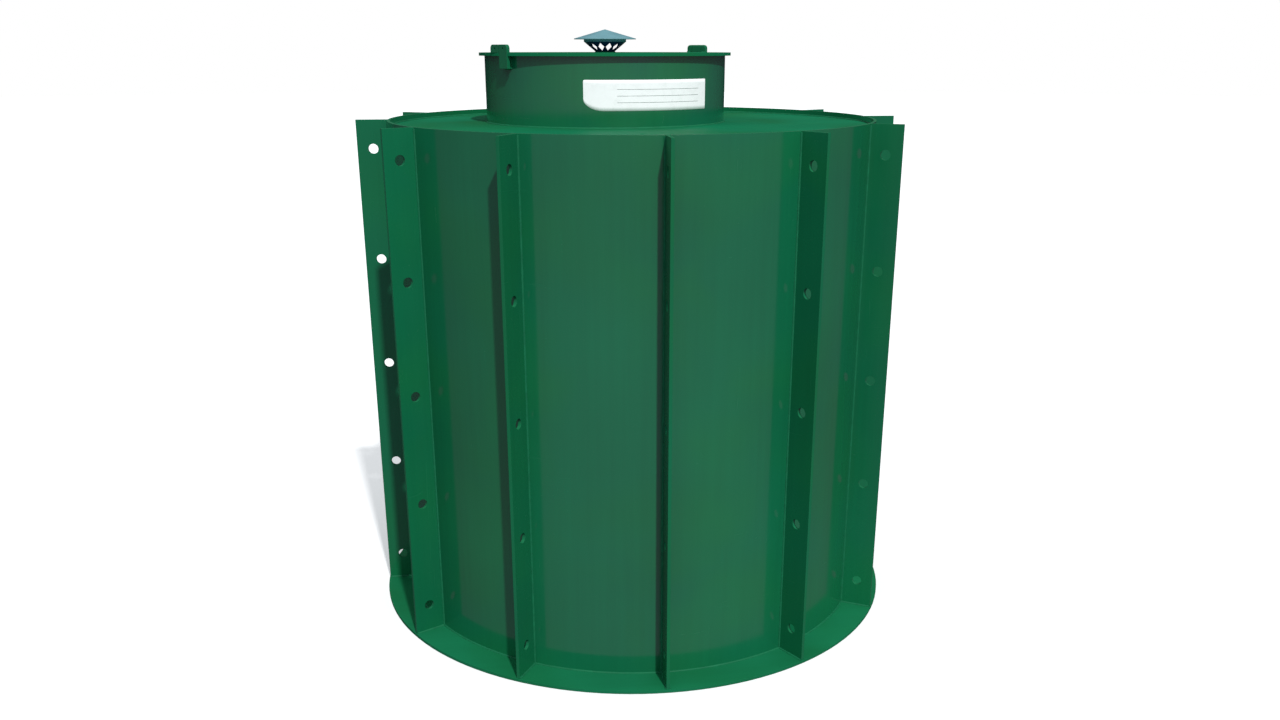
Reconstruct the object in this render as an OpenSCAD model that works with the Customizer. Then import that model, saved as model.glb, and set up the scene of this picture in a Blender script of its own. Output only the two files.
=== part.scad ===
// Round plastic caisson: a welded, ribbed shell with a base plate, a deck below the rim,
// an off-centre neck with a hinged lid, and a small lattice vent on the lid.
// Millimetres, +Z up, origin at the middle of the base plate's underside, front rib at -Y.

/* [Shell] */
// Outside diameter of the round shell
shell_d = 1300; // [1060:10:1800]
// Height of the shell, from the base plate to the rim
shell_h = 1325; // [900:5:2200]
// Thickness of the shell's wall
shell_wall = 8; // [5:1:15]

/* [Base and deck] */
// Thickness of the base plate
base_t = 8; // [5:1:20]
// How far the base plate reaches past the ribs
base_edge = 2; // [0:1:40]
// Thickness of the deck that closes the shell's top
deck_t = 10; // [5:1:20]
// How far the deck's upper face lies below the rim
deck_drop = 15; // [0:1:60]

/* [Ribs] */
// Width of a rib, outwards from the shell
rib_w = 83; // [50:1:150]
// Thickness of a rib
rib_t = 8; // [5:1:20]
// Diameter of the holes through a rib
hole_d = 26; // [10:1:32]
// Number of holes in a rib
hole_rows = 5; // [2:1:8]
// Distance of a rib's outermost holes from its ends
hole_end = 75; // [30:1:150]

/* [Neck] */
// Outside diameter of the neck
neck_d = 660; // [560:10:760]
// Height of the neck above the deck
neck_h = 174; // [80:1:400]
// Thickness of the neck's wall
neck_wall = 8; // [5:1:15]
// Place of the neck's middle to the left (-) or right (+)
neck_x = -60; // [-110:1:110]
// Place of the neck's middle to the front (-) or back (+)
neck_y = 120; // [-140:1:140]

/* [Lid] */
// How far the lid reaches past the neck
lid_edge = 15; // [14:1:30]
// Thickness of the lid
lid_t = 8; // [5:1:15]
// Turn of the hinge round the neck, from the front rib; the latch is opposite
hinge_turn = 122; // [90:1:150]

/* [Hinge and latch] */
// Width of the hinge and of the latch
fitting_w = 77; // [70:1:120]
// Height of the hinge and of the latch above the lid
fitting_h = 20; // [18:1:40]
// Thickness of the upright plates
fitting_t = 9; // [8:0.5:12]
// Radius of the plates' upper corners
fitting_r = 10; // [4:1:12]
// Width of the hinge bracket on the neck
bracket_w = 37; // [28:1:42]
// How far the brackets reach below the lid
bracket_drop = 31; // [20:1:60]
// How far the brackets' feet are set in from their sides
foot_inset = 5; // [2:1:8]
// Diameter of the hinge pin
pin_d = 5; // [3:0.5:6]
// Diameter of the padlock holes
lock_d = 6; // [5:1:12]

/* [Vent] */
// Diameter of the vent's hat
hat_d = 170; // [140:1:240]
// Height of the hat's cone
hat_h = 26; // [12:1:60]
// Diameter of the ring below the hat
ring_d = 116; // [90:1:130]
// Height of the ring that shows below the hat's rim
ring_h = 6; // [3:1:20]
// Diameter of the vent's pipe through the lid
pipe_d = 52; // [40:1:80]
// Height of the pipe above the lid
pipe_rise = 2; // [1:1:20]
// Height of the open lattice between the pipe and the ring
cage_h = 26; // [14:1:60]
// Turn of the lattice about the vent's axis
cage_turn = -5.5; // [-15:0.5:15]
// Wall thickness of the vent's pieces
vent_wall = 4; // [2:0.5:6]

/* [Clearances] */
// Gap left between round faces that are welded together
weld_gap = 0.2; // [0:0.05:0.5]
// Gap round the pin in its bores
pin_gap = 0.1; // [0.05:0.05:0.3]
// Gap between the lid and the brackets that pass through it
lid_gap = 2; // [1:0.5:5]

/* [Hidden] */
$fn = 180;
over = 1;
sheet_count = 4;
rib_count = 12;
cage_openings = 12;

shell_r = shell_d / 2;
rim_z = base_t + shell_h;
base_r = shell_r + rib_w + base_edge;
hole_pitch = (shell_h - 2 * hole_end) / (hole_rows - 1);

deck_z = rim_z - deck_drop;
neck_r = neck_d / 2;
lid_z = deck_z + neck_h;
lid_top = lid_z + lid_t;
lid_r = neck_r + lid_edge;

plate_r = lid_r - fitting_t / 2;
axis_z = lid_top + fitting_h - fitting_t / 2;
latch_turn = hinge_turn - 180;
pin_l = fitting_w - 2 * fitting_r;
knuckle_w = (fitting_w - bracket_w) / 2 - lid_gap;
latch_w = (fitting_w - lid_gap) / 2;

pipe_r = pipe_d / 2;
ring_r = ring_d / 2;
hat_r = hat_d / 2;
cage_z = lid_top + pipe_rise;
ring_z = cage_z + cage_h;
hat_z = ring_z + ring_h;
hat_lip = vent_wall / 2;
hat_slope = (hat_h - hat_lip) / hat_r;

green = "#1d6b4c";
dark_green = "#155a3f";
vent_blue = "#6f9fac";
vent_dark = "#22384d";
steel = "silver";

function pad(i) = str(i < 10 ? "0" : "", i);

// Places its children on the neck's axis
module at_neck() {
    translate([neck_x, neck_y, 0]) children();
}

// Places its children at the lid's edge, facing outwards along -Y, with the given turn
module at_lid_edge(turn) {
    at_neck() rotate([0, 0, turn]) translate([0, -plate_r, 0]) children();
}

// Extrudes an outline drawn in X and Z through a plate's thickness
module upright(t) {
    translate([0, t / 2, 0]) rotate([90, 0, 0]) linear_extrude(t) children();
}

// Extrudes an outline drawn in Y and Z along X, from x to x + w
module crosswise(x, w) {
    translate([x, 0, 0]) rotate([90, 0, 90]) linear_extrude(w) children();
}

// An upright outline from x = 0 to w with a round upper corner at its far side
module cornered(w, h) {
    square([w - fitting_r, h]);
    square([w, h - fitting_r]);
    translate([w - fitting_r, h - fitting_r]) circle(fitting_r, $fn = 48);
}

// The side view of a hinge plate from height z up to its round top about the pin
module knuckle_side(z) {
    translate([-fitting_t / 2, z]) square([fitting_t, axis_z - z]);
    translate([0, axis_z]) circle(d = fitting_t, $fn = 48);
}

// The pin's own cylinder, or its bore where a gap and more length are given
module pin_shape(gap, end) {
    l = pin_l + 2 * end;
    translate([-l / 2, 0, axis_z]) rotate([0, 90, 0]) cylinder(d = pin_d + 2 * gap, h = l, $fn = 48);
}

// A padlock hole through a latch plate at x
module lock_hole(x) {
    translate([x, fitting_t, lid_top + fitting_h / 2]) rotate([90, 0, 0])
        cylinder(d = lock_d, h = 2 * fitting_t, $fn = 48);
}

module base_plate() {
    color(dark_green) cylinder(r = base_r, h = base_t);
}

// One curved sheet of the shell, with its upright seams behind ribs
module shell_sheet(i) {
    color(green) translate([0, 0, base_t])
        rotate([0, 0, -90 + (i - 1) * 360 / sheet_count])
            rotate_extrude(angle = 360 / sheet_count)
                translate([shell_r - shell_wall, 0]) square([shell_wall, shell_h]);
}

module rib(i) {
    color(green) rotate([0, 0, (i - 1) * 360 / rib_count])
        difference() {
            translate([-rib_t / 2, -shell_r - rib_w, base_t])
                cube([rib_t, rib_w - weld_gap, shell_h]);
            for (k = [0:hole_rows - 1])
                translate([-rib_t, -shell_r - rib_w / 2, base_t + hole_end + k * hole_pitch])
                    rotate([0, 90, 0]) cylinder(d = hole_d, h = 2 * rib_t, $fn = 48);
        }
}

module deck() {
    color(dark_green) difference() {
        translate([0, 0, deck_z - deck_t]) cylinder(r = shell_r - shell_wall - weld_gap, h = deck_t);
        at_neck() translate([0, 0, deck_z - deck_t - over])
            cylinder(r = neck_r - neck_wall, h = deck_t + 2 * over);
    }
}

module neck() {
    color(green) at_neck() translate([0, 0, deck_z])
        rotate_extrude() translate([neck_r - neck_wall, 0]) square([neck_wall, neck_h]);
}

// What a bracket on the neck has below the lid: a block that follows the neck's round wall
module bracket_foot(x, w) {
    difference() {
        translate([x, -fitting_t / 2, lid_z - bracket_drop])
            cube([w, fitting_t + lid_edge, bracket_drop - lid_gap]);
        translate([0, plate_r, 0]) cylinder(r = neck_r + weld_gap, h = lid_z + over);
    }
}

module hinge_bracket() {
    color(green) at_lid_edge(hinge_turn) difference() {
        union() {
            bracket_foot(foot_inset - bracket_w / 2, bracket_w - 2 * foot_inset);
            crosswise(-bracket_w / 2, bracket_w) knuckle_side(lid_z - bracket_drop);
        }
        pin_shape(pin_gap, pin_gap);
    }
}

module hinge_pin() {
    color(steel) at_lid_edge(hinge_turn) pin_shape(0, 0);
}

module hinge_knuckle(side) {
    color(green) at_lid_edge(hinge_turn) difference() {
        intersection() {
            crosswise(side > 0 ? fitting_w / 2 - knuckle_w : -fitting_w / 2, knuckle_w)
                knuckle_side(lid_top);
            mirror([side > 0 ? 0 : 1, 0, 0]) translate([0, 0, lid_top])
                upright(2 * fitting_t) cornered(fitting_w / 2, fitting_h);
        }
        pin_shape(pin_gap, pin_gap);
    }
}

module latch_bracket() {
    color(green) at_lid_edge(latch_turn) difference() {
        union() {
            bracket_foot(lid_gap / 2 + foot_inset, latch_w - 2 * foot_inset);
            translate([lid_gap / 2, 0, lid_z - bracket_drop])
                upright(fitting_t) cornered(latch_w, bracket_drop + lid_t + fitting_h);
        }
        lock_hole(fitting_w / 4);
    }
}

module latch_tab() {
    color(green) at_lid_edge(latch_turn) difference() {
        translate([-lid_gap / 2, 0, lid_top]) mirror([1, 0, 0])
            upright(fitting_t) cornered(latch_w, fitting_h);
        lock_hole(-fitting_w / 4);
    }
}

// The notch that lets a bracket of the given place and width pass through the lid
module lid_notch(x, w) {
    translate([x - lid_gap, -lid_edge, lid_z - over])
        cube([w + 2 * lid_gap, lid_edge + fitting_t / 2 + lid_gap, lid_t + 2 * over]);
}

module lid() {
    color(green) difference() {
        at_neck() translate([0, 0, lid_z]) cylinder(r = lid_r, h = lid_t);
        at_neck() translate([0, 0, lid_z - over])
            cylinder(r = pipe_r + weld_gap, h = lid_t + 2 * over, $fn = 96);
        at_lid_edge(hinge_turn) lid_notch(-bracket_w / 2, bracket_w);
        at_lid_edge(latch_turn) lid_notch(lid_gap / 2, latch_w);
    }
}

module vent_pipe() {
    color(vent_dark) at_neck() translate([0, 0, lid_z])
        rotate_extrude($fn = 96) translate([pipe_r - vent_wall, 0])
            square([vent_wall, lid_t + pipe_rise]);
}

// A funnel-shaped lattice with diamond openings all round
module vent_cage() {
    mid_r = (pipe_r + ring_r) / 2;
    diamond_w = 2 * PI * mid_r / cage_openings * 0.8;
    diamond_h = cage_h * 0.8;
    color(vent_dark) at_neck() difference() {
        rotate_extrude($fn = 96) polygon([
            [pipe_r - vent_wall, cage_z], [pipe_r, cage_z],
            [ring_r, ring_z], [ring_r - vent_wall, ring_z]]);
        for (k = [0:cage_openings - 1])
            rotate([0, 0, cage_turn + (k + 0.5) * 360 / cage_openings])
                translate([0, -ring_r / 2, cage_z + cage_h / 2]) upright(ring_r + over)
                    polygon([[-diamond_w / 2, 0], [0, -diamond_h / 2],
                             [diamond_w / 2, 0], [0, diamond_h / 2]]);
    }
}

// Height of the hat's underside at the radius r
function hat_under(r) = hat_z + (hat_r - vent_wall - r) * hat_slope;

module vent_ring() {
    in_r = ring_r - vent_wall;
    color(vent_blue) at_neck() rotate_extrude($fn = 96) polygon([
        [in_r, ring_z], [ring_r, ring_z],
        [ring_r, hat_under(ring_r) - weld_gap], [in_r, hat_under(in_r) - weld_gap]]);
}

module vent_hat() {
    color(vent_blue) at_neck() rotate_extrude($fn = 96) polygon([
        [0, hat_under(0)], [hat_r - vent_wall, hat_z], [hat_r, hat_z],
        [hat_r, hat_z + hat_lip], [0, hat_z + hat_h]]);
}

base_plate();
for (i = [1:sheet_count])
    shell_sheet(i);
for (i = [1:rib_count])
    rib(i);
deck();
neck();
hinge_bracket();
hinge_pin();
latch_bracket();
lid();
hinge_knuckle(-1);  // hinge_knuckle_left
hinge_knuckle(1);  // hinge_knuckle_right
latch_tab();
vent_pipe();
vent_cage();
vent_ring();
vent_hat();
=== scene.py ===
import math

import bpy
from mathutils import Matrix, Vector


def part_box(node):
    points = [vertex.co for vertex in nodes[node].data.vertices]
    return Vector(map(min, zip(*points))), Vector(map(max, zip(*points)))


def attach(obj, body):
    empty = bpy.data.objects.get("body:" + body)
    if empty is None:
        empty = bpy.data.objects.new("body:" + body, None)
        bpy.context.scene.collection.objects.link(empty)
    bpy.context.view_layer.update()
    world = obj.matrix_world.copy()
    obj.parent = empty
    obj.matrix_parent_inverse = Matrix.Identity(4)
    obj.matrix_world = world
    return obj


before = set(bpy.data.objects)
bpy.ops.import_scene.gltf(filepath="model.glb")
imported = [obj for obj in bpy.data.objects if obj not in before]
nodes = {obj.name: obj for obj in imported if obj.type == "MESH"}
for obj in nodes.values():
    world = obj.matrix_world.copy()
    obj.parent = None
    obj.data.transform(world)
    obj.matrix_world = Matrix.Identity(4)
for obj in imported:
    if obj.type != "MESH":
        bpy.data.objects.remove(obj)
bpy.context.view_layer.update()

# Round plastic caisson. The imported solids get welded-plastic finishes, and this script adds the
# weld beads, the blank label on the neck, and the studio. Metres, in the CAD's frame. A turn is
# counted from the front, about an upright axis.

# ---- Sizes of part.scad that the solids' boxes don't give ----
SHELL_T = 0.008
SHEET_COUNT = 4
RIB_COUNT = 12
RIB_W = 0.083
RIB_HALF_T = 0.004
PIPE_R = 0.026
HINGE_TURN = math.radians(122)
LATCH_TURN = HINGE_TURN - math.pi
LUG_T = 0.009
LUG_HALF_W = 0.0385
KNUCKLE_NEAR = 0.0255
TAB_NEAR = 0.007
BRACKET_DROP = 0.031
HINGE_FOOT = (-0.0135, 0.0135)
LATCH_FOOT = (0.006, 0.0335)

# ---- Sizes taken from the solids ----
base_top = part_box("base_plate")[1].z
shell_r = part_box("shell_sheet_1")[1].x
rim_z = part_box("shell_sheet_1")[1].z
shell_inner_r = shell_r - SHELL_T
shell_middle = Vector((0, 0, 0))
rib_end_r = shell_r + RIB_W
deck_low, deck_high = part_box("deck")
neck_low, neck_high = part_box("neck")
neck_middle = (neck_low + neck_high) / 2
neck_r = (neck_high.x - neck_low.x) / 2
lid_low, lid_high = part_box("lid")
lug_inner_r = lid_high.x - neck_middle.x - LUG_T
bracket_low = lid_low.z - BRACKET_DROP

# ---- Weld beads ----
BEAD_R = 0.0034
BEAD_STEP = 0.015
SMALL_BEAD_R = 0.0028
SMALL_BEAD_STEP = BEAD_STEP / 3
SEAM_RISE = 0.0015
BEAD_SIDES = 10
BEAD_UNEVEN = 0.07
BEAD_SEED = 7
NECK_SEAM_TURN = math.radians(200)
LID_CLEAR = 0.007
RIM_CLEAR = 0.003
RIB_END_CLEAR = 0.002
RING_STEPS = 180
PIPE_RING_STEPS = 48
PANEL_ARC_STEPS = 24
BRACKET_ARC_STEPS = 8

# ---- Label on the neck: its ends as turns, its heights, and its ruled lines ----
LABEL_LEFT = math.radians(-15.2)
LABEL_RIGHT = math.radians(46.5)
LABEL_LOW = 1.361
LABEL_HIGH = 1.436
LABEL_ROUND_W = 0.053
LABEL_ROUND_H = 0.029
LABEL_CORNER = 0.003
LABEL_T = 0.0003
LABEL_GAP = 0.0001
LABEL_COLUMNS = 96
LABEL_ROWS = 8
LINE_HEIGHTS = (0.020, 0.036, 0.052)
LINE_HALF_T = 0.00045
LINE_START = 0.085
LINE_END = 0.325

# ---- Colours, as linear numbers ----
GREEN = (0.0062, 0.163, 0.068)
GREEN_BASE = (0.0088, 0.200, 0.084)
GREEN_PLATE = (0.0030, 0.200, 0.084)
GREEN_NECK = (0.0066, 0.150, 0.071)
GREEN_WARM = (0.0072, 0.170, 0.060)
# Pale green of cut and scraped plastic, also used for the painted highlight on the beads' ripple
# crests.
GREEN_CUT_AND_HIGHLIGHT = (0.012, 0.205, 0.088)
GREEN_BEAD = (0.0070, 0.165, 0.069)
VENT_BLUE = (0.178, 0.378, 0.425)
VENT_BLUE_WORN = (0.36, 0.52, 0.58)
# The ring's blues are lighter and bluer than the hat's: painted light, standing in for the light
# the ring lacks in the hat's shade.
VENT_RING_PAINTED_LIGHT = (0.300, 0.460, 0.720)
VENT_RING_WORN = (0.42, 0.56, 0.74)
VENT_DARK = (0.010, 0.040, 0.170)
VENT_DARK_WORN = (0.05, 0.08, 0.13)
PIN_STEEL = (0.55, 0.55, 0.54)
PIN_TARNISH = (0.22, 0.19, 0.16)
LABEL_WHITE = (0.97, 0.97, 0.97)
LABEL_INK = (0.010, 0.060, 0.035)
DUST = (0.30, 0.31, 0.28)
FLOOR_GREY = (0.80, 0.80, 0.80)
FLOOR_PALE = (0.84, 0.84, 0.84)
WHITE = (1, 1, 1)

# ---- What the finishes share ----
# Four numbers, here and below, map the span of the first two to that of the last two
NOISE_SPAN = (0.3, 0.7)
PLASTIC_IOR = 1.49
EDGE_R = 0.0009
FITTING_EDGE_R = 0.0012
EDGE_SPAN = (0.985, 0.80)
EDGE_SAMPLES = 6

# ---- Welded sheet: its patterns, the spans in which they show, and how far they go ----
UPRIGHT_GRAIN = (1, 1, 0.03)
FLAT_GRAIN = (0.03, 1, 1)
UPRIGHT_SAW = (1, 1, 0.25)
FLAT_SAW = (0.25, 0.25, 2)
LEVEL_RISE = 0.7
SHEET_MOTTLE = dict(scale=2.3, detail=3.0, roughness=0.45)
SHEET_WARM = dict(scale=3.4, detail=2.0, distortion=0.4)
SHEET_STREAK = dict(scale=70, detail=3.0, roughness=0.6)
SHEET_PEEL = dict(scale=26, detail=1.0)
SHEET_SCRATCH = dict(scale=46, stretch=(1, 1, 0.05), detail=4.0, roughness=0.6, distortion=1.6)
SHEET_CROSS = dict(scale=60, stretch=(0.09, 0.09, 1.3), detail=4.0, roughness=0.6, distortion=1.2)
SHEET_DUST = dict(scale=190, detail=5.0, roughness=0.75)
SHEET_HANDLED = dict(scale=9, detail=4.0, roughness=0.6)
SHEET_SAW = dict(scale=420, detail=3.0)
WARM_SPAN = (0.42, 0.66)
SCRATCH_SPAN = (0.66, 0.70)
CROSS_SPAN = (0.68, 0.72)
DUST_SPAN = (0.60, 0.72)
HANDLED_SPAN = (0.46, 0.66)
SHEET_TONE = (0.90, 1.08)
STREAK_TONE = (-0.030, 0.030)
SCRAPED_TONE = (0.35, 0.8)
SAWN_TONE = (0.05, 0.35)
MARK_TONE = 0.10
DUST_TONE = 0.030
SHEET_ROUGH = (-0.03, 0.04)
SHEET_DULLING = {"handled": 0.05, "marks": 0.12, "dust": 0.10, "edge": 0.50, "sawn": 0.55}
SHEET_RELIEF = {"streak": 0.20, "peel": 0.35, "saw_marks": 0.9, "marks": -0.25}
SHEET_BUMP = {"Strength": 0.35, "Distance": 0.0004}

# ---- Weld bead ----
BEAD_RIPPLE = dict(scale=170, detail=2.0, distortion=0.6)
BEAD_LUMPS = dict(scale=48, detail=3.0)
BEAD_MOTTLE = dict(scale=9, detail=2.0)
BEAD_TONE = (0.88, 1.14)
# The beads' ripple crests are paled: a painted highlight.
BEAD_PAINTED_HIGHLIGHT = (0.56, 0.74, 0.0, 0.25)
BEAD_ROUGH = (0.58, 0.74)
BEAD_SHINE = 0.22
BEAD_RELIEF = {"ripple": 0.6, "lumps": 0.8}
BEAD_BUMP = {"Strength": 0.55, "Distance": 0.0009}

# ---- Moulded vent ----
VENT_GRAIN = dict(scale=900, detail=2.0)
VENT_WEATHER = dict(scale=22, detail=4.0, roughness=0.6)
VENT_TONE = (0.92, 1.06)
VENT_WORN_TONE = 0.5
VENT_DUST = (0.58, 0.75, 0.0, 0.10)
VENT_ROUGH = (-0.05, 0.08)
VENT_DULLING = {"grain": 0.04}
VENT_BUMP = {"Strength": 0.30, "Distance": 0.00015}

# ---- Drawn pin ----
PIN_GRAIN = dict(scale=1500, detail=2.0)
PIN_SPOTS = dict(scale=120, detail=4.0, roughness=0.65)
PIN_SPOT_TONE = (0.45, 0.75, 0.0, 0.6)
PIN_ROUGH = (0.24, 0.46)
PIN_DULLING = {"grain": 0.06}
PIN_BUMP = {"Strength": 0.25, "Distance": 0.0001}

# ---- Label film ----
FILM_WEAR = dict(scale=60, detail=5.0, roughness=0.65)
FILM_WAVES = dict(scale=34, detail=2.0)
FILM_DUST = (0.5, 0.8, 0.0, 0.16)
FILM_ROUGH = (0.24, 0.40)
# The label film glows faintly: painted light that makes it read whiter.
FILM_PAINTED_GLOW = 0.22
FILM_BUMP = {"Strength": 0.2, "Distance": 0.0003}
INK_WEAR = (0.30, 0.42, 0.55, 1.0)

# ---- Studio: camera, sun, floor, and a sky that the soft light and the gloss see apart ----
CAMERA_PLACE = Vector((-0.3730, -3.1520, 1.5114))
CAMERA_HEADING = math.radians(7.141)
CAMERA_PITCH = math.radians(18.65)
CAMERA_LENS = 31.83
CAMERA_SENSOR = 36
CAMERA_SHIFT = 0.0547
CAMERA_CLIP = (0.05, 200)
SUN_AZIMUTH = math.radians(11)
SUN_HEIGHT = math.radians(47)
SUN_STRENGTH = 2.30
SUN_ANGLE = math.radians(2.0)
FLOOR_R = 40.0
FLOOR_SIDES = 64
FLOOR_DROP = 0.0005
FLOOR_TONE = dict(scale=0.6, detail=3.0)
FLOOR_GLOW = 0.35
FLOOR_ROUGH = 0.9
SKY_DARK = (0.045, 0.045, 0.050)
SKY_ABOVE = (0.68, 0.72, 0.76)
SKY_FRONT = (0.22, 0.29, 0.36)
SKY_BACK = (0.30, 0.32, 0.35)
SKY_TURN = (0.93, -0.93)
SKY_FRONT_SPAN = (0.70, 1.0)
SKY_BACK_SPAN = (0.35, 0.0)
SKY_ABOVE_SPAN = (0.05, 0.8)
ROOM_DARK = (0.012, 0.020, 0.022)
ROOM_ABOVE = (0.20, 0.22, 0.24)
ROOM_FRONT = (0.41, 0.21, 0.42)
ROOM_TOP_SPAN = (0.40, 0.15)
ROOM_FOOT_SPAN = (-0.85, -0.58, 0.25, 1.0)
ROOM_ABOVE_SPAN = (0.40, 0.80)


# ---- Node helpers ----
def put(tree, kind, sockets=None, **choices):
    """Adds a node. Sockets maps its inputs to values or links, and choices are its own settings."""
    made = tree.nodes.new(kind)
    for name, value in choices.items():
        setattr(made, name, value)
    for key, value in (sockets or {}).items():
        if isinstance(value, bpy.types.NodeSocket):
            tree.links.new(value, made.inputs[key])
        else:
            made.inputs[key].default_value = value
    return made


def maths(tree, operation, *values):
    """The result of one operation on values or links."""
    return put(tree, "ShaderNodeMath", dict(enumerate(values)), operation=operation).outputs[0]


def spread(tree, value, low, high, to_low=0.0, to_high=1.0):
    """Maps a value from one span to another, held at the ends."""
    return put(tree, "ShaderNodeMapRange",
               {0: value, 1: low, 2: high, 3: to_low, 4: to_high}).outputs[0]


def vary(tree, pattern, low, high):
    """Maps a noise's usual span to the one from low to high."""
    return spread(tree, pattern, *NOISE_SPAN, low, high)


def add_up(tree, value, patterns, amounts):
    """Adds to a value each pattern that has an amount, times that amount."""
    for name, amount in amounts.items():
        value = maths(tree, "ADD", value, maths(tree, "MULTIPLY", patterns[name], amount))
    return value


def as_colour(colour):
    """A colour is a link or three linear numbers, which a socket takes with a fourth."""
    return colour if isinstance(colour, bpy.types.NodeSocket) else (*colour, 1)


def blend_colour(tree, factor, first, second):
    """Mixes two colours. Sockets 6 and 7, and output 2, are the colour ones."""
    return put(tree, "ShaderNodeMix", {0: factor, 6: as_colour(first), 7: as_colour(second)},
               data_type="RGBA").outputs[2]


def brighten(tree, colour, tone):
    """A colour with its brightness times a tone."""
    return put(tree, "ShaderNodeHueSaturation",
               {"Value": tone, "Color": as_colour(colour)}).outputs[0]


def noise(tree, place, scale, stretch=(1, 1, 1), detail=2.0, roughness=0.5, distortion=0.0):
    """A noise that follows the piece. A small stretch on an axis draws it out along that axis."""
    stretched = put(tree, "ShaderNodeMapping", {"Vector": place, "Scale": stretch})
    return put(tree, "ShaderNodeTexNoise", {
        "Vector": stretched.outputs[0], "Scale": scale, "Detail": detail,
        "Roughness": roughness, "Distortion": distortion}).outputs[0]


def bump(tree, settings, height, **normal):
    """The normal that a height gives, over the plain one or over the one called Normal."""
    return put(tree, "ShaderNodeBump", {**settings, "Height": height, **normal}).outputs[0]


def new_material(name):
    """An empty material: returns it, its tree, and the place in the piece for its patterns."""
    made = bpy.data.materials.new(name)
    made.use_nodes = True
    made.node_tree.nodes.clear()
    place = put(made.node_tree, "ShaderNodeTexCoord").outputs["Object"]
    return made, made.node_tree, place


def shade(tree, sockets):
    """Ends a material with a shader that has these links and values."""
    shader = put(tree, "ShaderNodeBsdfPrincipled", sockets)
    put(tree, "ShaderNodeOutputMaterial", {0: shader.outputs[0]})


def worn_edges(tree, radius):
    """1 along a solid's sharp edges, 0 elsewhere, and the normal that rounds them."""
    rounded = put(tree, "ShaderNodeBevel", {"Radius": radius}, samples=EDGE_SAMPLES).outputs[0]
    flat = put(tree, "ShaderNodeNewGeometry").outputs["Normal"]
    same = put(tree, "ShaderNodeVectorMath", {0: rounded, 1: flat}, operation="DOT_PRODUCT")
    return spread(tree, same.outputs["Value"], *EDGE_SPAN), rounded


def sawn_faces(tree, upright):
    """1 on the faces where a sheet was sawn: an upright sheet's ends, or a flat plate's rim."""
    normal = put(tree, "ShaderNodeTexCoord").outputs["Normal"]
    rise = put(tree, "ShaderNodeSeparateXYZ", {0: normal}).outputs["Z"]
    level = maths(tree, "GREATER_THAN", maths(tree, "ABSOLUTE", rise), LEVEL_RISE)
    return level if upright else maths(tree, "SUBTRACT", 1.0, level)


# ---- Finishes ----
def sheet_plastic(name, colour, roughness, shine, upright=True, edge_radius=EDGE_R):
    """Welded sheet: drawn streaks, mottling, scratches, dust, scraped corners and sawn edges."""
    made, tree, place = new_material(name)
    grain, saw_stretch = (UPRIGHT_GRAIN, UPRIGHT_SAW) if upright else (FLAT_GRAIN, FLAT_SAW)
    mottle = noise(tree, place, **SHEET_MOTTLE)
    streak = noise(tree, place, stretch=grain, **SHEET_STREAK)
    saw = noise(tree, place, stretch=saw_stretch, **SHEET_SAW)
    warm = spread(tree, noise(tree, place, **SHEET_WARM), *WARM_SPAN)
    dust = spread(tree, noise(tree, place, **SHEET_DUST), *DUST_SPAN)
    handled = spread(tree, noise(tree, place, **SHEET_HANDLED), *HANDLED_SPAN)
    scratch = spread(tree, noise(tree, place, **SHEET_SCRATCH), *SCRATCH_SPAN)
    cross = spread(tree, noise(tree, place, **SHEET_CROSS), *CROSS_SPAN)
    marks = maths(tree, "MAXIMUM", scratch, cross)
    sawn = sawn_faces(tree, upright)
    edge, rounded = worn_edges(tree, edge_radius)

    tone = maths(tree, "ADD", vary(tree, mottle, *SHEET_TONE), vary(tree, streak, *STREAK_TONE))
    toned = brighten(tree, blend_colour(tree, warm, colour, GREEN_WARM), tone)
    scraped = maths(tree, "MULTIPLY", edge, spread(tree, handled, 0, 1, *SCRAPED_TONE))
    sawn_tone = maths(tree, "MULTIPLY", sawn, vary(tree, saw, *SAWN_TONE))
    for bared in (scraped, sawn_tone, maths(tree, "MULTIPLY", marks, MARK_TONE)):
        toned = blend_colour(tree, bared, toned, GREEN_CUT_AND_HIGHLIGHT)
    shown = blend_colour(tree, maths(tree, "MULTIPLY", dust, DUST_TONE), toned, DUST)

    patterns = {"streak": streak, "peel": noise(tree, place, **SHEET_PEEL), "marks": marks,
                "dust": dust, "handled": handled, "edge": edge, "sawn": sawn,
                "saw_marks": maths(tree, "MULTIPLY", sawn, saw)}
    rough = vary(tree, mottle, *[roughness + change for change in SHEET_ROUGH])
    height = add_up(tree, 0.0, patterns, SHEET_RELIEF)
    shade(tree, {
        "Base Color": shown, "Roughness": add_up(tree, rough, patterns, SHEET_DULLING),
        "Normal": bump(tree, SHEET_BUMP, height, Normal=rounded),
        "IOR": PLASTIC_IOR, "Specular IOR Level": shine})
    return made


def bead_plastic(name, colour):
    """Laid weld bead: lumpy, rippled and dull, with a painted highlight on its ripples' crests."""
    made, tree, place = new_material(name)
    ripple = noise(tree, place, **BEAD_RIPPLE)
    lumps = noise(tree, place, **BEAD_LUMPS)
    toned = brighten(tree, colour, vary(tree, lumps, *BEAD_TONE))
    height = add_up(tree, 0.0, {"ripple": ripple, "lumps": lumps}, BEAD_RELIEF)
    # The ripples' crests are blended towards pale green: a painted highlight.
    shade(tree, {
        "Base Color": blend_colour(tree, spread(tree, ripple, *BEAD_PAINTED_HIGHLIGHT), toned, GREEN_CUT_AND_HIGHLIGHT),
        "Roughness": vary(tree, noise(tree, place, **BEAD_MOTTLE), *BEAD_ROUGH),
        "Normal": bump(tree, BEAD_BUMP, height), "Specular IOR Level": BEAD_SHINE})
    return made


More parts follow.
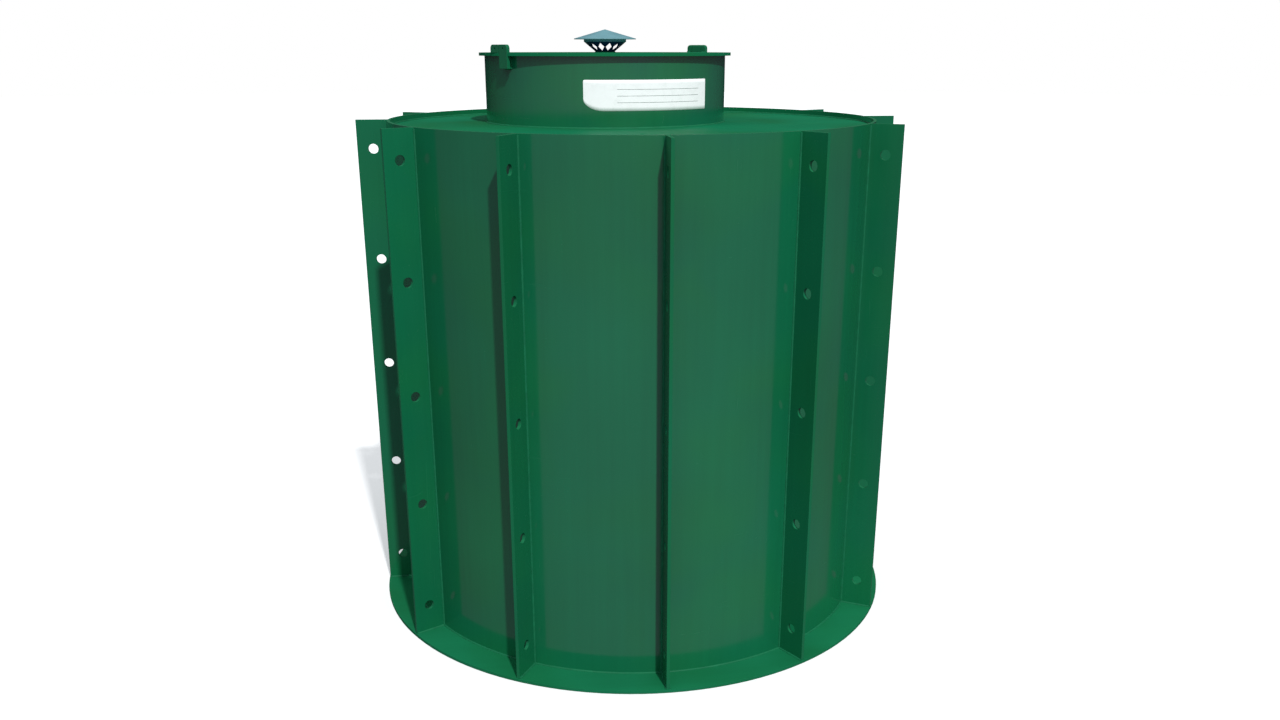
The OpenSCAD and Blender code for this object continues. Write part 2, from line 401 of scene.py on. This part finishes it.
def moulded_plastic(name, colour, worn, roughness):
    """Injection-moulded vent piece: fine texture, faint weathering and lighter edges."""
    made, tree, place = new_material(name)
    grain = noise(tree, place, **VENT_GRAIN)
    weather = noise(tree, place, **VENT_WEATHER)
    edge, rounded = worn_edges(tree, EDGE_R)
    toned = brighten(tree, colour, vary(tree, weather, *VENT_TONE))
    toned = blend_colour(tree, maths(tree, "MULTIPLY", edge, VENT_WORN_TONE), toned, worn)
    rough = vary(tree, weather, *[roughness + change for change in VENT_ROUGH])
    shade(tree, {
        "Base Color": blend_colour(tree, spread(tree, weather, *VENT_DUST), toned, DUST),
        "Roughness": add_up(tree, rough, {"grain": grain}, VENT_DULLING),
        "Normal": bump(tree, VENT_BUMP, grain, Normal=rounded), "IOR": PLASTIC_IOR})
    return made


def drawn_steel(name):
    """Drawn pin: a fine grain and a little tarnish."""
    made, tree, place = new_material(name)
    grain = noise(tree, place, **PIN_GRAIN)
    spots = noise(tree, place, **PIN_SPOTS)
    shade(tree, {
        "Base Color": blend_colour(tree, spread(tree, spots, *PIN_SPOT_TONE),
                                   PIN_STEEL, PIN_TARNISH),
        "Roughness": add_up(tree, vary(tree, spots, *PIN_ROUGH), {"grain": grain}, PIN_DULLING),
        "Normal": bump(tree, PIN_BUMP, grain), "Metallic": 1.0})
    return made


def ruled_lines(tree):
    """1 on the label's ruled lines, 0 elsewhere, by the label's own map."""
    own_map = put(tree, "ShaderNodeUVMap", uv_map="label").outputs[0]
    across, up, _ = put(tree, "ShaderNodeSeparateXYZ", {0: own_map}).outputs
    inside = maths(tree, "MULTIPLY", maths(tree, "GREATER_THAN", across, LINE_START),
                   maths(tree, "LESS_THAN", across, LINE_END))
    ink = 0.0
    for line in LINE_HEIGHTS:
        away = maths(tree, "ABSOLUTE", maths(tree, "SUBTRACT", up, line))
        near = maths(tree, "LESS_THAN", away, LINE_HALF_T)
        ink = maths(tree, "MAXIMUM", maths(tree, "MULTIPLY", near, inside), ink)
    return ink


def blank_label(name):
    """White film with three ruled lines to write on, and a faint painted glow that whitens it."""
    made, tree, place = new_material(name)
    wear = noise(tree, place, **FILM_WEAR)
    ink = maths(tree, "MULTIPLY", ruled_lines(tree), spread(tree, wear, *INK_WEAR))
    film = blend_colour(tree, spread(tree, wear, *FILM_DUST), LABEL_WHITE, DUST)
    shown = blend_colour(tree, ink, film, LABEL_INK)
    # The film's own colour also glows: painted light.
    shade(tree, {
        "Base Color": shown, "Roughness": vary(tree, wear, *FILM_ROUGH),
        "Normal": bump(tree, FILM_BUMP, noise(tree, place, **FILM_WAVES)),
        "Emission Color": shown, "Emission Strength": FILM_PAINTED_GLOW})
    return made


def floor_paint(name):
    """Pale, matt studio floor with a faint trowelled tone."""
    made, tree, place = new_material(name)
    shown = blend_colour(tree, noise(tree, place, **FLOOR_TONE), FLOOR_GREY, FLOOR_PALE)
    shade(tree, {
        "Base Color": shown, "Emission Color": shown, "Emission Strength": FLOOR_GLOW,
        "Roughness": FLOOR_ROUGH, "Specular IOR Level": 0.0})
    return made


def dress(material, *names):
    """Gives CAD nodes their finish through their own material slots."""
    for name in names:
        solid = nodes[name]
        if not solid.material_slots:
            solid.data.materials.append(material)
        for held in solid.material_slots:
            held.material = material


dress(sheet_plastic("shell_plastic", GREEN, roughness=0.12, shine=0.5),
      *[f"shell_sheet_{i}" for i in range(1, SHEET_COUNT + 1)])
dress(sheet_plastic("rib_plastic", GREEN, roughness=0.22, shine=0.22),
      *[f"rib_{i:02d}" for i in range(1, RIB_COUNT + 1)])
dress(sheet_plastic("base_plastic", GREEN_BASE, roughness=0.56, shine=0.12, upright=False),
      "base_plate")
dress(sheet_plastic("plate_plastic", GREEN_PLATE, roughness=0.56, shine=0.12, upright=False),
      "deck", "lid")
dress(sheet_plastic("neck_plastic", GREEN_NECK, roughness=0.13, shine=0.70), "neck")
dress(sheet_plastic("fitting_plastic", GREEN, roughness=0.24, shine=0.4,
                    edge_radius=FITTING_EDGE_R),
      "hinge_bracket", "latch_bracket", "hinge_knuckle_left", "hinge_knuckle_right", "latch_tab")
dress(moulded_plastic("vent_hat_plastic", VENT_BLUE, VENT_BLUE_WORN, roughness=0.34), "vent_hat")
# The vent ring gets a lighter copy of the hat's blue: painted light for its place in the hat's
# shade.
dress(moulded_plastic("vent_ring_painted_light_plastic", VENT_RING_PAINTED_LIGHT, VENT_RING_WORN, roughness=0.34),
      "vent_ring")
dress(moulded_plastic("vent_dark_plastic", VENT_DARK, VENT_DARK_WORN, roughness=0.30),
      "vent_cage", "vent_pipe")
dress(drawn_steel("pin_steel"), "hinge_pin")
bead_finish = bead_plastic("bead_plastic", GREEN_BEAD)


# ---- Weld beads, laid along paths by one Geometry Nodes tree ----
def weld_bead_tree():
    """Takes paths made of edges and lays an uneven round bead along each."""
    tree = bpy.data.node_groups.new("weld_bead", "GeometryNodeTree")
    face = tree.interface
    face.new_socket("Paths", in_out="INPUT", socket_type="NodeSocketGeometry")
    for name, kind in (("Bead radius", "Float"), ("Step", "Float"), ("Unevenness", "Float"),
                       ("Sides", "Int"), ("Seed", "Int"), ("Finish", "Material")):
        face.new_socket(name, in_out="INPUT", socket_type="NodeSocket" + kind)
    face.new_socket("Beads", in_out="OUTPUT", socket_type="NodeSocketGeometry")
    given = put(tree, "NodeGroupInput").outputs
    line = put(tree, "GeometryNodeMeshToCurve", {"Mesh": given["Paths"]})
    line = put(tree, "GeometryNodeResampleCurve",
               {"Curve": line.outputs[0], "Length": given["Step"]}, mode="LENGTH")
    thin = maths(tree, "SUBTRACT", 1.0, given["Unevenness"])
    thick = maths(tree, "ADD", 1.0, given["Unevenness"])
    # Sockets 2 and 3 are the least and most of a single number, and 8 is the seed
    swell = put(tree, "FunctionNodeRandomValue",
                {2: thin, 3: thick, 8: given["Seed"]}, data_type="FLOAT")
    section = put(tree, "GeometryNodeCurvePrimitiveCircle", {
        "Resolution": given["Sides"], "Radius": given["Bead radius"]}, mode="RADIUS")
    bead = put(tree, "GeometryNodeCurveToMesh", {
        "Curve": line.outputs[0], "Profile Curve": section.outputs[0],
        "Scale": swell.outputs[1], "Fill Caps": True})
    smooth = put(tree, "GeometryNodeSetShadeSmooth", {"Geometry": bead.outputs[0]})
    real = put(tree, "GeometryNodeRealizeInstances", {"Geometry": smooth.outputs[0]})
    coloured = put(tree, "GeometryNodeSetMaterial",
                   {"Geometry": real.outputs[0], "Material": given["Finish"]})
    put(tree, "NodeGroupOutput", {"Beads": coloured.outputs[0]})
    return tree


bead_tree = weld_bead_tree()
bead_sockets = {s.name: s.identifier for s in bead_tree.interface.items_tree
                if s.in_out == "INPUT"}


def lay_beads(name, body, paths, radius=BEAD_R, step=BEAD_STEP):
    """Lays beads along paths, each its points and whether it closes, as one plain mesh."""
    points, edges = [], []
    for path, closed in paths:
        first = len(points)
        points += path
        edges += [(first + i, first + i + 1) for i in range(len(path) - 1)]
        if closed:
            edges.append((len(points) - 1, first))
    guide = bpy.data.meshes.new(name + "_paths")
    guide.from_pydata(points, edges, [])
    holder = bpy.data.objects.new(name + "_guide", guide)
    bpy.context.scene.collection.objects.link(holder)
    made_by = holder.modifiers.new("weld_bead", "NODES")
    made_by.node_group = bead_tree
    for socket, value in (("Bead radius", radius), ("Step", step), ("Unevenness", BEAD_UNEVEN),
                          ("Sides", BEAD_SIDES), ("Seed", BEAD_SEED), ("Finish", bead_finish)):
        made_by[bead_sockets[socket]] = value
    graph = bpy.context.evaluated_depsgraph_get()
    mesh = bpy.data.meshes.new_from_object(holder.evaluated_get(graph), depsgraph=graph)
    bead = bpy.data.objects.new(name, mesh)
    bpy.data.objects.remove(holder)
    bpy.context.scene.collection.objects.link(bead)
    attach(bead, body)


def at(middle, turn, radius, side, z):
    """The point at a turn about an upright axis, a distance out and a step sideways."""
    return Vector((middle.x + radius * math.sin(turn) + side * math.cos(turn),
                   middle.y - radius * math.cos(turn) + side * math.sin(turn), z))


def arc(middle, radius, z, start, end, steps):
    """An arc's points."""
    return [at(middle, start + (end - start) * i / steps, radius, 0, z)
            for i in range(steps + 1)]


def ring(middle, radius, z, steps=RING_STEPS):
    """A closed path round an axis."""
    return arc(middle, radius, z, 0, 2 * math.pi, steps)[:-1], True


def upright_line(middle, turn, radius, side, low, high):
    """An open path straight up."""
    return [at(middle, turn, radius, side, z) for z in (low, high)], False


rib_turns = [i * 2 * math.pi / RIB_COUNT for i in range(RIB_COUNT)]
rib_pitch = rib_turns[1]
rib_half_turn = RIB_HALF_T / shell_r
rib_root, rib_foot, shell_foot = [], [], []
for turn in rib_turns:
    for side in (-RIB_HALF_T, RIB_HALF_T):
        rib_root.append(
            upright_line(shell_middle, turn, shell_r, side, base_top, rim_z - RIM_CLEAR))
        rib_foot.append(([at(shell_middle, turn, radius, side, base_top)
                          for radius in (shell_r, rib_end_r - RIB_END_CLEAR)], False))
    shell_foot.append((arc(shell_middle, shell_r, base_top, turn + rib_half_turn,
                           turn + rib_pitch - rib_half_turn, PANEL_ARC_STEPS), False))
lay_beads("rib_root_beads", "tank", rib_root)
lay_beads("rib_foot_beads", "tank", rib_foot)
lay_beads("shell_foot_beads", "tank", shell_foot + [ring(shell_middle, shell_inner_r, base_top)])
lay_beads("deck_beads", "tank", [
    ring(shell_middle, shell_inner_r, deck_high.z), ring(shell_middle, shell_inner_r, deck_low.z),
    ring(neck_middle, neck_r, deck_high.z)])

# The neck's seam is outside at its back, and the shell's seams are inside, behind ribs
neck_seam = upright_line(neck_middle, NECK_SEAM_TURN, neck_r - BEAD_R + SEAM_RISE, 0,
                         deck_high.z, lid_low.z - LID_CLEAR)
shell_seams = [upright_line(shell_middle, i * 2 * math.pi / SHEET_COUNT,
                            shell_inner_r + BEAD_R - SEAM_RISE, 0, base_top, deck_low.z)
               for i in range(SHEET_COUNT)]
lay_beads("seam_beads", "tank", [neck_seam] + shell_seams)


def bracket_beads(turn, foot):
    """Beads up both sides of a bracket on the neck and along its foot, given as its two ends."""
    sides = [upright_line(neck_middle, turn, math.sqrt(neck_r ** 2 - side ** 2), side,
                          bracket_low, lid_low.z - LID_CLEAR) for side in foot]
    ends = [turn + math.asin(side / neck_r) for side in foot]
    return sides + [(arc(neck_middle, neck_r, bracket_low, *ends, BRACKET_ARC_STEPS), False)]


def lug_bead(turn, start, end):
    """A bead along the inner foot of an upright plate on the lid."""
    return [at(neck_middle, turn, lug_inner_r, side, lid_high.z) for side in (start, end)], False


lay_beads("bracket_beads", "tank",
          bracket_beads(HINGE_TURN, HINGE_FOOT) + bracket_beads(LATCH_TURN, LATCH_FOOT),
          SMALL_BEAD_R, SMALL_BEAD_STEP)
lay_beads("lid_beads", "cover", [
    lug_bead(HINGE_TURN, -LUG_HALF_W, -KNUCKLE_NEAR),
    lug_bead(HINGE_TURN, KNUCKLE_NEAR, LUG_HALF_W),
    lug_bead(LATCH_TURN, -LUG_HALF_W, -TAB_NEAR),
    ring(neck_middle, PIPE_R, lid_high.z, PIPE_RING_STEPS)], SMALL_BEAD_R, SMALL_BEAD_STEP)


# ---- Blank label ----
def corner_cut(reach, width, rise):
    """How far a rounded corner of that width and rise cuts in at a reach from the label's end."""
    return rise * (1 - math.sqrt(max(0.0, 1 - (1 - min(reach, width) / width) ** 2)))


def label_skin(radius, length, height):
    """One skin's points, column by column from the left, and their places on the label's map."""
    points, places = [], []
    for i in range(LABEL_COLUMNS + 1):
        reach = length * (1 - math.cos(math.pi * i / LABEL_COLUMNS)) / 2
        left = corner_cut(reach, LABEL_CORNER, LABEL_CORNER)
        right = corner_cut(length - reach, LABEL_CORNER, LABEL_CORNER)
        low = max(corner_cut(reach, LABEL_ROUND_W, LABEL_ROUND_H), right)
        high = height - max(left, right)
        for row in range(LABEL_ROWS + 1):
            up = low + (high - low) * row / LABEL_ROWS
            points.append(at(neck_middle, LABEL_LEFT + reach / neck_r, radius, 0, LABEL_LOW + up))
            places.append((reach, up))
    return points, places


def label_sheet():
    """A thin film round the neck with small corners and one large rounded one at its lower left."""
    length = (LABEL_RIGHT - LABEL_LEFT) * neck_r
    height = LABEL_HIGH - LABEL_LOW
    outer, outer_map = label_skin(neck_r + LABEL_GAP + LABEL_T, length, height)
    inner, inner_map = label_skin(neck_r + LABEL_GAP, length, height)
    column = LABEL_ROWS + 1
    faces = []
    for c in range(LABEL_COLUMNS):
        for r in range(LABEL_ROWS):
            a, b = c * column + r, (c + 1) * column + r
            faces.append((a, b, b + 1, a + 1))
            faces.append(tuple(len(outer) + i for i in (a + 1, b + 1, b, a)))
    lower = [c * column for c in range(LABEL_COLUMNS + 1)]
    right = [LABEL_COLUMNS * column + r for r in range(1, column)]
    upper = [c * column + LABEL_ROWS for c in range(LABEL_COLUMNS - 1, -1, -1)]
    left = list(range(LABEL_ROWS - 1, 0, -1))
    rim = lower + right + upper + left
    for first, second in zip(rim, rim[1:] + rim[:1]):
        faces.append((second, first, first + len(outer), second + len(outer)))
    mesh = bpy.data.meshes.new("neck_label")
    mesh.from_pydata(outer + inner, [], faces)
    own_map, places = mesh.uv_layers.new(name="label"), outer_map + inner_map
    for loop in mesh.loops:
        own_map.data[loop.index].uv = places[loop.vertex_index]
    mesh.shade_smooth()
    mesh.materials.append(blank_label("label_film_painted_glow"))
    made = bpy.data.objects.new("neck_label", mesh)
    bpy.context.scene.collection.objects.link(made)
    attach(made, "tank")


label_sheet()


# ---- Studio: floor, sky, sun and camera ----
def studio_floor():
    """A pale floor that takes the shadow, and neither lights the caisson nor mirrors in it."""
    mesh = bpy.data.meshes.new("studio_floor")
    turns = [i * 2 * math.pi / FLOOR_SIDES for i in range(FLOOR_SIDES)]
    rim = [(FLOOR_R * math.cos(turn), FLOOR_R * math.sin(turn), -FLOOR_DROP) for turn in turns]
    mesh.from_pydata(rim, [], [tuple(range(FLOOR_SIDES))])
    mesh.materials.append(floor_paint("floor_paint"))
    floor = bpy.data.objects.new("studio_floor", mesh)
    bpy.context.scene.collection.objects.link(floor)
    floor.visible_diffuse = False
    floor.visible_glossy = False


def studio_sky():
    """White behind the caisson, a soft light from above, and a grey-violet room for the gloss."""
    world = bpy.data.worlds.new("studio_sky")
    world.use_nodes = True
    tree = world.node_tree
    tree.nodes.clear()
    ray = put(tree, "ShaderNodeLightPath").outputs
    outwards = put(tree, "ShaderNodeTexCoord").outputs["Generated"]
    _, back, up = put(tree, "ShaderNodeSeparateXYZ", {0: outwards}).outputs
    front = spread(tree, back, *SKY_TURN)
    soft = blend_colour(tree, spread(tree, front, *SKY_FRONT_SPAN), SKY_DARK, SKY_FRONT)
    soft = blend_colour(tree, spread(tree, front, *SKY_BACK_SPAN), soft, SKY_BACK)
    soft = blend_colour(tree, spread(tree, up, *SKY_ABOVE_SPAN), soft, SKY_ABOVE)
    level = maths(tree, "MULTIPLY", spread(tree, up, *ROOM_TOP_SPAN),
                  spread(tree, up, *ROOM_FOOT_SPAN))
    gloss = blend_colour(tree, maths(tree, "MULTIPLY", front, level), ROOM_DARK, ROOM_FRONT)
    gloss = blend_colour(tree, spread(tree, up, *ROOM_ABOVE_SPAN), gloss, ROOM_ABOVE)
    room = blend_colour(tree, ray["Is Glossy Ray"], soft, gloss)
    shown = blend_colour(tree, ray["Is Camera Ray"], room, WHITE)
    light = put(tree, "ShaderNodeBackground", {0: shown, 1: 1.0})
    put(tree, "ShaderNodeOutputWorld", {0: light.outputs[0]})
    bpy.context.scene.world = world


def studio_sun():
    """One sun, high and slightly to the right of the front."""
    light = bpy.data.lights.new("studio_sun", "SUN")
    light.energy = SUN_STRENGTH
    light.angle = SUN_ANGLE
    sun = bpy.data.objects.new("studio_sun", light)
    towards = at(shell_middle, SUN_AZIMUTH, math.cos(SUN_HEIGHT), 0, math.sin(SUN_HEIGHT))
    sun.rotation_euler = towards.to_track_quat("Z", "Y").to_euler()
    bpy.context.scene.collection.objects.link(sun)


def studio_camera():
    """The camera at the photograph's viewing angle."""
    lens = bpy.data.cameras.new("studio_camera")
    lens.lens = CAMERA_LENS
    lens.sensor_width = CAMERA_SENSOR
    lens.shift_y = CAMERA_SHIFT
    lens.clip_start, lens.clip_end = CAMERA_CLIP
    camera = bpy.data.objects.new("studio_camera", lens)
    camera.location = CAMERA_PLACE
    ahead = Vector((math.sin(CAMERA_HEADING) * math.cos(CAMERA_PITCH),
                    math.cos(CAMERA_HEADING) * math.cos(CAMERA_PITCH), -math.sin(CAMERA_PITCH)))
    camera.rotation_euler = ahead.to_track_quat("-Z", "Y").to_euler()
    bpy.context.scene.collection.objects.link(camera)
    bpy.context.scene.camera = camera


studio_floor()
studio_sky()
studio_sun()
studio_camera()
bpy.context.scene.view_settings.view_transform = "Standard"
